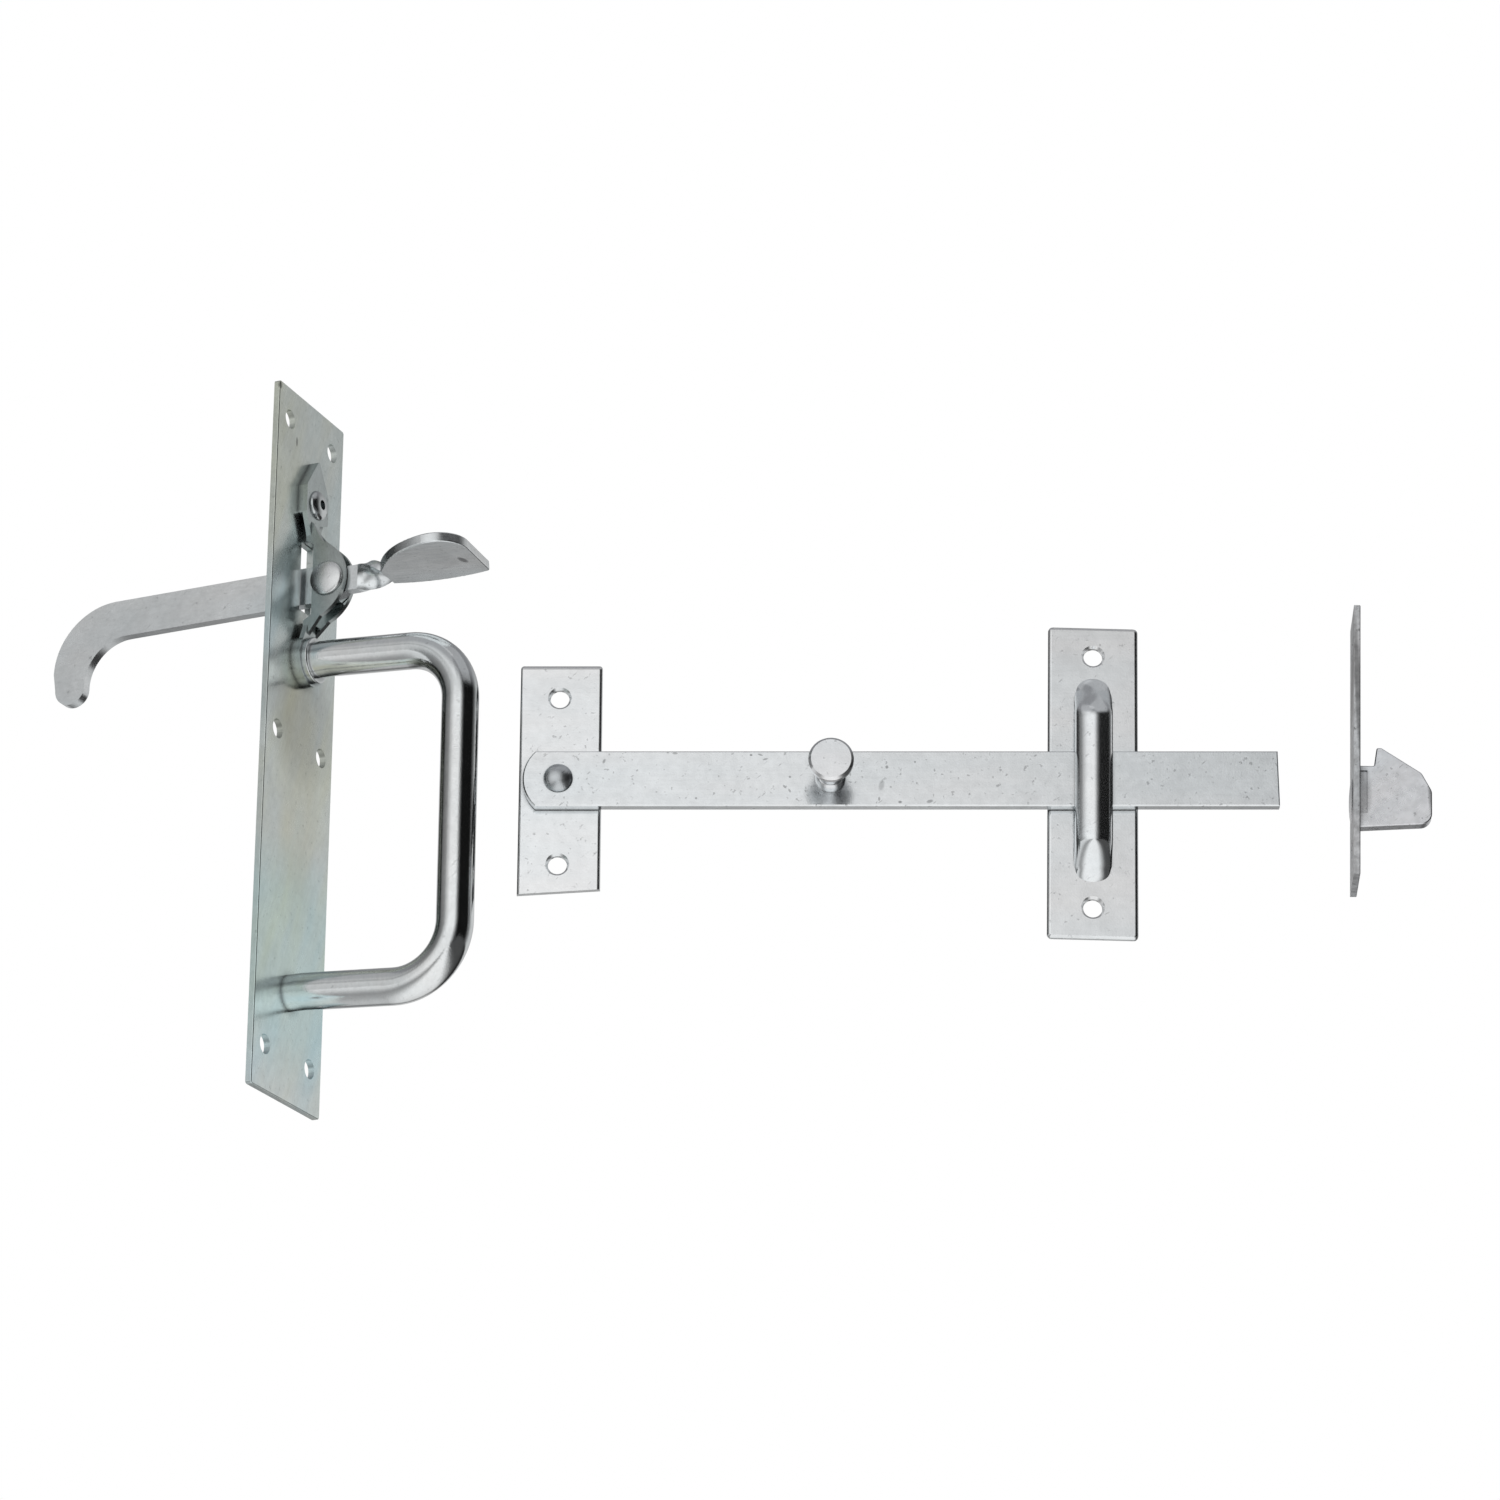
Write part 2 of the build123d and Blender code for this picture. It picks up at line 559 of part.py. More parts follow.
# Pivot plate: sheared a little out of square, its top edge rolled over by the shear
with BuildPart() as pivot_plate:
    plate_top = PIVOT_PLATE_RISE + PIVOT_PLATE_HEIGHT / 2
    plate_bottom = PIVOT_PLATE_RISE - PIVOT_PLATE_HEIGHT / 2
    plate_left = PIVOT_PLATE_SHIFT - PIVOT_PLATE_WIDTH / 2
    plate_right = PIVOT_PLATE_SHIFT + PIVOT_PLATE_WIDTH / 2
    with BuildSketch(Plane.XZ):
        with BuildLine():
            Polyline(
                (plate_left, plate_top),
                (plate_right, plate_top),
                (plate_right, plate_bottom + PIVOT_PLATE_SKEW / 2),
                (plate_left, plate_bottom - PIVOT_PLATE_SKEW / 2),
                close=True,
            )
        make_face()
    extrude(amount=PIVOT_PLATE_THICKNESS)
    top_edges = pivot_plate.edges().filter_by(Axis.X).group_by(Axis.Z)[-1]
    fillet(top_edges.sort_by(Axis.Y)[0], PIVOT_PLATE_ROLLOVER)
    front_sides = pivot_plate.faces().sort_by(Axis.Y)[0].edges().filter_by(Axis.Z)
    fillet(front_sides, PIVOT_PLATE_EDGE)
    with Locations(Plane.XZ.offset(PIVOT_PLATE_THICKNESS)):
        with Locations(
            (0, PIVOT_HOLES_RISE + PIVOT_HOLE_SPACING / 2),
            (0, PIVOT_HOLES_RISE - PIVOT_HOLE_SPACING / 2),
        ):
            CounterSinkHole(SCREW_HOLE_DIAMETER / 2, SCREW_MOUTH_DIAMETER / 2)
        Hole(BAR_RIVET_DIAMETER / 2 + RIVET_SLACK)
    with BuildSketch(turned_along(Vector(0, 0, 0), Vector(0, -1, 0), up)):
        with BuildLine():
            Polyline(
                (0, 0),
                (0, BAR_RIVET_TAIL_DIAMETER / 2 + RIVET_SLACK),
                (BAR_RIVET_TAIL_DEPTH, BAR_RIVET_DIAMETER / 2 + RIVET_SLACK),
                (BAR_RIVET_TAIL_DEPTH, 0),
                close=True,
            )
        make_face()
    revolve(axis=Axis.Y, mode=Mode.SUBTRACT)
pivot_plate.part.label = "pivot_plate"
export_step(pivot_plate.part, "parts/pivot_plate.step")

# Latch bar: flat bar with a rounded heel behind its pivot
with BuildPart() as latch_bar:
    with BuildSketch(Plane.XZ.offset(bar_back)):
        with BuildLine():
            ThreePointArc(
                (-BAR_HEEL_CORNER, -BAR_WIDTH / 2), (-BAR_HEEL, 0), (-BAR_HEEL_CORNER, BAR_WIDTH / 2)
            )
            Polyline(
                (-BAR_HEEL_CORNER, BAR_WIDTH / 2),
                (BAR_LENGTH, BAR_WIDTH / 2),
                (BAR_LENGTH, -BAR_WIDTH / 2),
                (-BAR_HEEL_CORNER, -BAR_WIDTH / 2),
            )
        make_face()
    extrude(amount=BAR_THICKNESS)
    chamfer(latch_bar.faces().sort_by(Axis.Y)[0].edges(), BAR_EDGE)
    with Locations(Plane.XZ.offset(bar_front)):
        Hole(BAR_RIVET_DIAMETER / 2 + RUNNING_CLEARANCE)
        with Locations((KNOB_FROM_PIVOT, 0)):
            Hole(KNOB_TENON_DIAMETER / 2 + RIVET_SLACK)
latch_bar.part.label = "latch_bar"
export_step(latch_bar.part, "parts/latch_bar.step")

# Rivet the bar swings on: domed head in front, tail filled into the plate's countersink
with BuildPart() as bar_pivot_rivet:
    with BuildSketch(turned_along(Vector(0, 0, 0), Vector(0, -1, 0), up)):
        head_start = bar_front + HEAD_PLAY
        with BuildLine():
            Polyline(
                (head_start + BAR_RIVET_HEAD_HEIGHT, 0),
                (0, 0),
                (0, BAR_RIVET_TAIL_DIAMETER / 2),
                (BAR_RIVET_TAIL_DEPTH, BAR_RIVET_DIAMETER / 2),
                (head_start, BAR_RIVET_DIAMETER / 2),
                (head_start, BAR_RIVET_HEAD_DIAMETER / 2),
            )
            EllipticalCenterArc(
                (head_start, 0),
                BAR_RIVET_HEAD_HEIGHT,
                BAR_RIVET_HEAD_DIAMETER / 2,
                start_angle=0,
                arc_size=QUARTER_TURN,
            )
        make_face()
    revolve(axis=Axis.Y)
bar_pivot_rivet.part.label = "bar_pivot_rivet"
export_step(bar_pivot_rivet.part, "parts/bar_pivot_rivet.step")

# Turned knob: collar, waist and flared flat head, its tenon riveted over behind the bar
knob_axis = turned_along(Vector(KNOB_FROM_PIVOT, 0, 0), Vector(0, -1, 0), up)
with BuildPart() as bar_knob:
    knob_top = bar_front + KNOB_HEIGHT
    rim_start = knob_top - KNOB_HEAD_THICKNESS
    waist_start = bar_front + KNOB_COLLAR_HEIGHT
    with BuildSketch(knob_axis):
        with BuildLine():
            Polyline(
                (knob_top, 0),
                (bar_back - KNOB_TAIL_HEIGHT, 0),
                (bar_back - KNOB_TAIL_HEIGHT, KNOB_TENON_DIAMETER / 2),
                (bar_back, KNOB_TAIL_DIAMETER / 2),
                (bar_back, KNOB_TENON_DIAMETER / 2),
                (bar_front, KNOB_TENON_DIAMETER / 2),
                (bar_front, KNOB_COLLAR_DIAMETER / 2),
            )
            EllipticalCenterArc(
                (bar_front, KNOB_NECK_DIAMETER / 2),
                KNOB_COLLAR_HEIGHT,
                (KNOB_COLLAR_DIAMETER - KNOB_NECK_DIAMETER) / 2,
                start_angle=0,
                arc_size=QUARTER_TURN,
            )
            Line(
                (waist_start, KNOB_NECK_DIAMETER / 2),
                (rim_start - KNOB_FLARE, KNOB_NECK_DIAMETER / 2),
            )
            EllipticalCenterArc(
                (rim_start - KNOB_FLARE, KNOB_HEAD_DIAMETER / 2 - KNOB_EDGE),
                KNOB_FLARE,
                (KNOB_HEAD_DIAMETER - KNOB_NECK_DIAMETER) / 2 - KNOB_EDGE,
                start_angle=-QUARTER_TURN,
                arc_size=QUARTER_TURN,
            )
            Polyline(
                (rim_start, KNOB_HEAD_DIAMETER / 2 - KNOB_EDGE),
                (rim_start + KNOB_EDGE, KNOB_HEAD_DIAMETER / 2),
                (knob_top - KNOB_EDGE, KNOB_HEAD_DIAMETER / 2),
                (knob_top, KNOB_HEAD_DIAMETER / 2 - KNOB_EDGE),
                (knob_top, 0),
            )
        make_face()
    revolve(axis=Axis(knob_axis.origin, knob_axis.x_dir))
bar_knob.part.label = "bar_knob"
export_step(bar_knob.part, "parts/bar_knob.step")

# Keeper: the bridge ramps up out of the plate and over the bar, and the plate is open behind it
ramp_slope = tan(radians(BRIDGE_RAMP_ANGLE))
crest_end = BRIDGE_CREST_LENGTH / 2
window_end = crest_end + (bridge_inside - WINDOW_LIP) / ramp_slope
ramp_end = crest_end + (bridge_inside + BRIDGE_SINK) / ramp_slope
bridge_side = Plane(keeper_front.origin, x_dir=keeper_front.y_dir, z_dir=keeper_front.x_dir)
crest_section = Plane(
    keeper_front.origin - keeper_front.z_dir * BRIDGE_SINK + keeper_front.y_dir * ramp_end,
    x_dir=keeper_front.x_dir,
    z_dir=keeper_front.z_dir * sin(radians(BRIDGE_RAMP_ANGLE))
    - keeper_front.y_dir * cos(radians(BRIDGE_RAMP_ANGLE)),
)
with BuildPart() as keeper_plate:
    with BuildSketch(keeper_front):
        RectangleRounded(KEEPER_WIDTH, KEEPER_HEIGHT, KEEPER_CORNER)
        Rectangle(WINDOW_WIDTH, 2 * window_end, mode=Mode.SUBTRACT)
    extrude(amount=KEEPER_THICKNESS)
    fillet(keeper_plate.faces().sort_by(Axis.Y)[0].outer_wire().edges(), KEEPER_EDGE)
    with Locations(keeper_front.offset(KEEPER_THICKNESS)):
        with Locations((0, KEEPER_HOLE_SPACING / 2), (0, -KEEPER_HOLE_SPACING / 2)):
            CounterSinkHole(SCREW_HOLE_DIAMETER / 2, SCREW_MOUTH_DIAMETER / 2)
    with BuildLine(bridge_side) as bridge_path:
        FilletPolyline(
            (ramp_end, -BRIDGE_SINK),
            (crest_end, bridge_inside),
            (-crest_end, bridge_inside),
            (-ramp_end, -BRIDGE_SINK),
            radius=BRIDGE_BEND,
        )
    with BuildSketch(crest_section):
        with BuildLine():
            Polyline(
                (BRIDGE_SHOULDER_WIDTH / 2, BRIDGE_SHOULDER_HEIGHT),
                (BRIDGE_WIDTH / 2, BRIDGE_EDGE_THICKNESS),
                (BRIDGE_WIDTH / 2, 0),
                (-BRIDGE_WIDTH / 2, 0),
                (-BRIDGE_WIDTH / 2, BRIDGE_EDGE_THICKNESS),
                (-BRIDGE_SHOULDER_WIDTH / 2, BRIDGE_SHOULDER_HEIGHT),
            )
            ThreePointArc(
                (-BRIDGE_SHOULDER_WIDTH / 2, BRIDGE_SHOULDER_HEIGHT),
                (0, BRIDGE_CROWN_HEIGHT),
                (BRIDGE_SHOULDER_WIDTH / 2, BRIDGE_SHOULDER_HEIGHT),
            )
        make_face()
    sweep(path=bridge_path.line)
    with BuildSketch(keeper_front):
        Rectangle(KEEPER_WIDTH, KEEPER_HEIGHT)
    extrude(amount=-2 * BRIDGE_SINK, mode=Mode.SUBTRACT)
keeper_plate.part.label = "keeper_plate"
export_step(keeper_plate.part, "parts/keeper_plate.step")

# Catch plate with two screw holes and the slot for the hook's tenon
catch_middle = (CATCH_PLATE_RISE - CATCH_PLATE_DROP) / 2
catch_normal = Axis(catch_origin, catch_out)
with BuildPart() as catch_plate:
    with BuildSketch(catch_front):
        with Locations((0, catch_middle)):
            Rectangle(CATCH_PLATE_WIDTH, CATCH_PLATE_RISE + CATCH_PLATE_DROP)
        with Locations((0, -HOOK_TENON_DROP)):
            Rectangle(
                HOOK_THICKNESS + 2 * RIVET_SLACK,
                HOOK_TENON_HEIGHT + 2 * RIVET_SLACK,
                mode=Mode.SUBTRACT,
            )
    extrude(amount=-CATCH_PLATE_THICKNESS)
    fillet(catch_plate.faces().sort_by(catch_normal)[-1].outer_wire().edges(), CATCH_PLATE_EDGE)
    with Locations(catch_front):
        with Locations(
            (0, catch_middle + CATCH_HOLE_SPACING / 2), (0, catch_middle - CATCH_HOLE_SPACING / 2)
        ):
            CounterSinkHole(SCREW_HOLE_DIAMETER / 2, SCREW_MOUTH_DIAMETER / 2)
catch_plate.part.label = "catch_plate"
export_step(catch_plate.part, "parts/catch_plate.step")

# Hook: a flat forging with a notch for the bar's end, its tenon riveted over behind the plate
with BuildPart() as catch_hook:
    with BuildSketch(catch_side.offset(-HOOK_THICKNESS / 2)):
        with BuildLine():
            FilletPolyline(
                (0, HOOK_NOTCH_RISE),
                (HOOK_NOTCH_REACH, HOOK_NOTCH_RISE),
                (HOOK_PEAK_REACH, HOOK_PEAK_RISE),
                (HOOK_PEAK_REACH + HOOK_PEAK_FLAT, HOOK_PEAK_RISE),
                (HOOK_SHOULDER_REACH, HOOK_SHOULDER_RISE),
                (HOOK_DEPTH, -HOOK_NOSE_TOP_DROP),
                (HOOK_DEPTH, -HOOK_NOSE_DROP),
                (0, -HOOK_BACK_DROP),
                radius=[
                    HOOK_NOTCH_RADIUS,
                    HOOK_PEAK_RADIUS,
                    HOOK_PEAK_RADIUS,
                    HOOK_SHOULDER_RADIUS,
                    HOOK_NOSE_RADIUS,
                    HOOK_NOSE_RADIUS,
                ],
            )
            Line((0, -HOOK_BACK_DROP), (0, HOOK_NOTCH_RISE))
        make_face()
    extrude(amount=HOOK_THICKNESS)
    hook_faces = catch_hook.faces().sort_by(Axis(catch_origin, catch_across))
    for hook_face in (hook_faces[0], hook_faces[-1]):
        chamfer(hook_face.edges().sort_by(catch_normal)[1:], HOOK_EDGE)
    for face_w in (-HOOK_THICKNESS / 2, HOOK_THICKNESS / 2 - HOOK_NECK_CUT):
        with BuildSketch(catch_side.offset(face_w)):
            with Locations((HOOK_NECK_DEPTH / 2, (HOOK_NECK_RISE - HOOK_NECK_DROP) / 2)):
                Rectangle(HOOK_NECK_DEPTH, HOOK_NECK_RISE + HOOK_NECK_DROP)
        extrude(amount=HOOK_NECK_CUT, mode=Mode.SUBTRACT)
    with BuildSketch(catch_front.offset(-CATCH_PLATE_THICKNESS)):
        with Locations((0, -HOOK_TENON_DROP)):
            Rectangle(HOOK_THICKNESS - 2 * HOOK_NECK_CUT, HOOK_TENON_HEIGHT)
    extrude(amount=CATCH_PLATE_THICKNESS)
    rivet_axis = turned_along(
        catch_origin - catch_front.y_dir * HOOK_TENON_DROP - catch_out * CATCH_PLATE_THICKNESS,
        -catch_out,
        catch_front.y_dir,
    )
    with BuildSketch(rivet_axis):
        with BuildLine():
            Polyline((HOOK_RIVET_HEIGHT, 0), (0, 0), (0, HOOK_RIVET_DIAMETER / 2))
            EllipticalCenterArc(
                (0, 0),
                HOOK_RIVET_HEIGHT,
                HOOK_RIVET_DIAMETER / 2,
                start_angle=0,
                arc_size=QUARTER_TURN,
            )
        make_face()
    revolve(axis=Axis(rivet_axis.origin, rivet_axis.x_dir))
catch_hook.part.label = "catch_hook"
export_step(catch_hook.part, "parts/catch_hook.step")
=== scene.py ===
from math import cos, pi, radians, sin

import bpy
import numpy as np
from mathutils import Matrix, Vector


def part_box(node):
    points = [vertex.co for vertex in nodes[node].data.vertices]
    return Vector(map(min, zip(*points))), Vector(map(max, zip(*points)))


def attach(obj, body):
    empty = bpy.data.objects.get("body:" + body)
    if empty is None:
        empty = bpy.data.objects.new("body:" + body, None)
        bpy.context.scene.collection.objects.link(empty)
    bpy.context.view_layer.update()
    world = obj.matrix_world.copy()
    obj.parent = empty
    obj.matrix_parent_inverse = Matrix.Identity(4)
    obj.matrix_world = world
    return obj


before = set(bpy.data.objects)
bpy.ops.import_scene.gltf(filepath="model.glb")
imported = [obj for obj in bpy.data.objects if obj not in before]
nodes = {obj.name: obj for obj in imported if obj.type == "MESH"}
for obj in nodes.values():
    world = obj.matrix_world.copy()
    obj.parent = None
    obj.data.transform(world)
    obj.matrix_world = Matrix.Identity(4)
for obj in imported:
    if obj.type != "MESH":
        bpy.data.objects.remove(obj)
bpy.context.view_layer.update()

scene = bpy.context.scene

# Camera: below the latch and looking up at it, square to the latch bar
PHOTO_PIXELS = 1500
LENS_PIXELS = 4500
SENSOR_MM = 36.0
CAMERA_RISE = radians(21.2)
CAMERA_DISTANCE = 1.237
AIM = Vector((0.0524, 0.0, 0.0103))

# Studio, in metres and watts
FLOOR_Z = -0.62
FLOOR_SIZE = 8.0
LAMP_SIZE = 2.0
LAMP_POWER = 1.9
KEY_PLACE = (-0.9, -1.1, 1.9)
FILL_PLACE = (0.9, -0.7, 2.0)
WHITE = (1.0, 1.0, 1.0)
ROOM_DIFFUSE = (0.92, 0.92, 0.93)

# Brightness of the room that the metal sees, by bearing in degrees from the front to the right
ROOM_BY_BEARING = (
    (-180, 0.55), (-150, 0.60), (-138, 0.05), (-106, 0.03), (-95, 0.14), (-80, 0.23), (-66, 0.31),
    (-60, 0.43), (-54, 0.60), (-46, 0.72), (-40, 0.88), (-30, 1.00), (0, 1.00), (5, 0.84),
    (9, 0.60), (13, 0.35), (18, 0.14), (27, 0.008), (84, 0.008), (92, 0.08), (100, 0.17),
    (110, 0.38), (121, 0.66), (135, 0.71), (150, 0.64), (180, 0.55),
)
# And by height, given as the sine of the angle above the horizon
ROOM_BY_HEIGHT = (
    (0.0, 0.90), (0.27, 0.95), (0.30, 1.00), (0.34, 1.00), (0.36, 0.90), (0.38, 0.80),
    (0.41, 0.74), (0.46, 0.70), (0.70, 0.70), (1.0, 0.70),
)
# Overhead the room is one even grey, which takes over across these heights
OVERHEAD = (0.26, 0.26, 0.27)
OVERHEAD_FADE = ((0.50, 0.0), (0.74, 1.0))
# What the metal sees of the floor, by distance behind the latch and to its right, in metres
FLOOR_BY_DEPTH = (
    (-1.2, 0.95), (0.0, 0.92), (0.7, 0.70), (1.0, 0.28), (1.5, 0.26), (2.0, 0.65), (3.5, 0.80),
)
FLOOR_BY_SIDE = (
    (-2.50, 0.80), (-1.20, 0.70), (-0.90, 0.52), (-0.60, 0.34), (-0.40, 0.46), (-0.15, 1.00),
    (0.34, 1.00), (0.50, 0.50), (0.68, 0.14), (0.90, 0.08), (1.20, 0.08), (3.00, 0.08),
)
# Share of white in the floor, by distance from its middle as a share of half its size
FLOOR_PALING = ((0.10, 0.0), (0.85, 1.0))

# Round back of the keeper's bridge, in metres from the keeper's middle and from the plate's back
KEEPER_TILT = radians(1.6)
CROWN_WIDTH = 0.0103
CROWN_HEIGHT = 0.0095
CROWN_FOOT = 0.0016
# Where the crown starts to fall at each end, and where it meets the plate
CROWN_TOP = (0.0165, 0.0315)
CROWN_BOTTOM = (0.0190, 0.0305)
# Height of the crown's edges, where they start to fall, and how
CROWN_EDGE = 0.0057
CROWN_EDGE_LEVEL = 0.01885
CROWN_EDGE_SLOPE = 0.7536
CROWN_EDGE_SOFTNESS = 0.0004
CROWN_EDGE_LOWEST = 0.0004
CROWN_ROWS = 161
CROWN_ARC_POINTS = 41
CROWN_UNDERSIDE_POINTS = 7
CROWN_SHARP_ANGLE = radians(50)

# Turns of the scratch and grain patterns, and of single dark ovals, which are nicks, tint patches
# and painted shade
ALONG_BAR = (0.0, 0.0, 0.0)
UP_PLATE = (0.0, radians(90), radians(-23))
ACROSS_CATCH = (0.0, radians(35), radians(-4))
ON_PLATE = (0.0, 0.0, radians(-23))
SCUFF_TURN = (radians(20), radians(38), radians(25))

# Patterns of the plating, in features per metre
CLOUD_SCALE = 55.0
MOTTLE_SCALE = 420.0
SPECK_SCALE = 700.0
WAVE_SCALE = 45.0
GRAIN_SCALE = 2600.0
PATCH_STRETCH = (8.0, 40.0, 40.0)
SCUFF_STRETCH = (150.0, 1100.0, 1100.0)
LINE_STRETCH = (30.0, 1400.0, 1400.0)
SCUFF_SHIFT = (3.1, 0.0, 0.0)
# Patches pass through the tints over this run of the noise
PATCH_START, PATCH_RUN = 0.36, 0.28
# Depths of the bump in metres
WAVE_DEPTH, WAVE_STRENGTH = 0.0006, 0.25
GRAIN_DEPTH = 0.0002
# Share of the drawn lines in the roughness, and its least and most against the gloss given
LINE_SHARE = 0.35
ROUGH_LEAST, ROUGH_MOST = 0.8, 1.25
# Painted crevice shade: samples of the ambient occlusion, and how far it darkens the base colour
CREVICE_SHADE_SAMPLES = 12
CREVICE_PAINTED_SHADE = ((0.25, 0.22), (0.80, 1.0))
DARK_OVAL_CORE = 0.45

# Tints of the zinc
PLAIN = (1.00, 1.00, 1.00)
COOL = (0.95, 0.985, 1.00)
BLUE = (0.90, 0.985, 1.05)
STRAW = (1.03, 1.00, 0.88)
ZINC = (PLAIN, COOL)
PASSIVATED = (STRAW, PLAIN, BLUE)


def middle_of(node):
    """Middle of a node's box, in metres."""
    low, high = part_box(node)
    return (np.array(low) + np.array(high)) / 2


def above_middle(node, height):
    """Point at that height above the middle of a node's box."""
    return tuple(middle_of(node) + np.array((0.0, 0.0, height)))


def tree_of(material):
    """Cleared node tree of a material, its Principled shader and the output that it is wired to."""
    material.use_nodes = True
    tree = material.node_tree
    tree.nodes.clear()
    output = tree.nodes.new("ShaderNodeOutputMaterial")
    shader = tree.nodes.new("ShaderNodeBsdfPrincipled")
    tree.links.new(shader.outputs["BSDF"], output.inputs["Surface"])
    return tree, shader, output


def object_coordinates(tree, turn=ALONG_BAR, stretch=None, shift=(0.0, 0.0, 0.0)):
    """Object coordinates in metres, turned and shifted by a Mapping node, then stretched."""
    coordinates = tree.nodes.new("ShaderNodeTexCoord")
    mapping = tree.nodes.new("ShaderNodeMapping")
    mapping.inputs["Rotation"].default_value = turn
    mapping.inputs["Location"].default_value = shift
    tree.links.new(coordinates.outputs["Object"], mapping.inputs["Vector"])
    if stretch is None:
        return mapping.outputs["Vector"]
    stretched = tree.nodes.new("ShaderNodeMapping")
    stretched.inputs["Scale"].default_value = stretch
    tree.links.new(mapping.outputs["Vector"], stretched.inputs["Vector"])
    return stretched.outputs["Vector"]


def noise(tree, vector, scale, detail=4.0, roughness=0.55):
    """Fractal noise value from 0 to 1 at that scale per metre."""
    texture = tree.nodes.new("ShaderNodeTexNoise")
    texture.inputs["Scale"].default_value = scale
    texture.inputs["Detail"].default_value = detail
    texture.inputs["Roughness"].default_value = roughness
    tree.links.new(vector, texture.inputs["Vector"])
    return texture.outputs["Fac"]


def ramp(tree, value, *stops):
    """Colour run through stops of (value, grey or colour)."""
    node = tree.nodes.new("ShaderNodeValToRGB")
    elements = node.color_ramp.elements
    while len(elements) < len(stops):
        elements.new(0.5)
    for element, (place, colour) in zip(elements, stops):
        element.position = place
        element.color = (*(colour if isinstance(colour, tuple) else (colour,) * 3), 1.0)
    tree.links.new(value, node.inputs["Fac"])
    return node.outputs["Color"]


def mixed(tree, factor, first, second, blend="MIX"):
    """First colour changed towards the second by factor."""
    node = tree.nodes.new("ShaderNodeMix")
    node.data_type = "RGBA"
    node.blend_type = blend
    if isinstance(factor, float):
        node.inputs["Factor"].default_value = factor
    else:
        tree.links.new(factor, node.inputs["Factor"])
    for colour, place in ((first, "A"), (second, "B")):
        if isinstance(colour, tuple):
            node.inputs[place].default_value = (*colour, 1.0)
        else:
            tree.links.new(colour, node.inputs[place])
    return node.outputs["Result"]


def multiplied(tree, first, second):
    """Product of two colours."""
    return mixed(tree, 1.0, first, second, "MULTIPLY")


def bumped(tree, height, strength, depth, normal=None):
    """Surface normal tilted by a height pattern of that depth in metres."""
    node = tree.nodes.new("ShaderNodeBump")
    node.inputs["Strength"].default_value = strength
    node.inputs["Distance"].default_value = depth
    tree.links.new(height, node.inputs["Height"])
    if normal is not None:
        tree.links.new(normal, node.inputs["Normal"])
    return node.outputs["Normal"]


def calculated(tree, operation, *values):
    """One Math node on values or sockets."""
    node = tree.nodes.new("ShaderNodeMath")
    node.operation = operation
    for value, socket in zip(values, node.inputs):
        if isinstance(value, (int, float)):
            socket.default_value = value
        else:
            tree.links.new(value, socket)
    return node.outputs["Value"]


def glow(tree, colour):
    """Emission of that colour at a strength of 1."""
    node = tree.nodes.new("ShaderNodeEmission")
    if isinstance(colour, tuple):
        node.inputs["Color"].default_value = (*colour, 1.0)
    else:
        tree.links.new(colour, node.inputs["Color"])
    return node.outputs["Emission"]


def mixed_shader(tree, factor, first, second):
    """First shader changed towards the second by factor."""
    node = tree.nodes.new("ShaderNodeMixShader")
    for socket, place in zip((factor, first, second), node.inputs):
        tree.links.new(socket, place)
    return node.outputs["Shader"]


def dark_oval(tree, centre, half_lengths, turn, depth):
    """Dark oval at centre, in metres, fading from 1 - depth in its core to 1 at its rim.

    The depth is one value, or one each for red, green and blue.
    """
    coordinates = tree.nodes.new("ShaderNodeTexCoord")
    mapping = tree.nodes.new("ShaderNodeMapping")
    mapping.vector_type = "TEXTURE"
    mapping.inputs["Location"].default_value = centre
    mapping.inputs["Rotation"].default_value = turn
    mapping.inputs["Scale"].default_value = half_lengths
    tree.links.new(coordinates.outputs["Object"], mapping.inputs["Vector"])
    oval = tree.nodes.new("ShaderNodeTexGradient")
    oval.gradient_type = "SPHERICAL"
    tree.links.new(mapping.outputs["Vector"], oval.inputs["Vector"])
    dark = tuple(1.0 - share for share in depth) if isinstance(depth, tuple) else 1.0 - depth
    return ramp(tree, oval.outputs["Fac"], (0.0, 1.0), (DARK_OVAL_CORE, dark))


